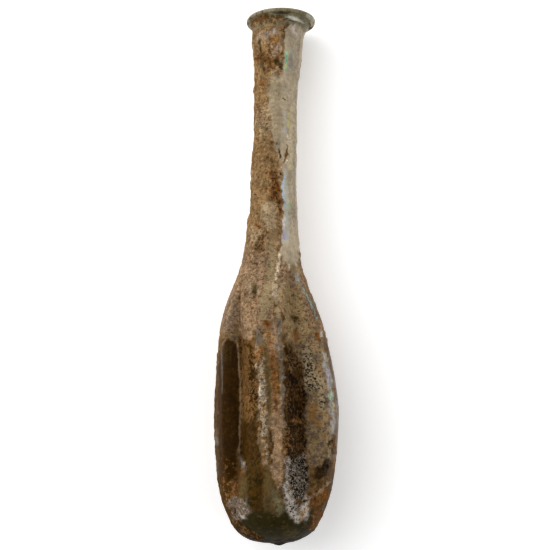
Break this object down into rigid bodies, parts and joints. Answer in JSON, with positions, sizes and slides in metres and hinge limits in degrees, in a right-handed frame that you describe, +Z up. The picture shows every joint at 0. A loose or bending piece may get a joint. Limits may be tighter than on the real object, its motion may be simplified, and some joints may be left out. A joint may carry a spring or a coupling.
{
  "type": "glass perfume flask",
  "caption": "Slender blown-glass flask for perfumed oil: a fluted oval body, a long neck and a thin turned-out lip, with a weathered, crusted surface.",
  "frame": {"origin": "under the middle of the lying flask, on the surface it lies on", "axes": "+Y runs along the flask from the foot to the mouth, +Z is up, +X is to the right when the mouth points away"},
  "size_m": [0.0338, 0.1498, 0.0317],
  "materials": {
    "weathered_glass": "olive glass under a dull tan and brown burial crust, iridescent where the crust has gone"
  },
  "bodies": {
    "root": {"flask": "weathered_glass"}
  },
  "joints": []
}
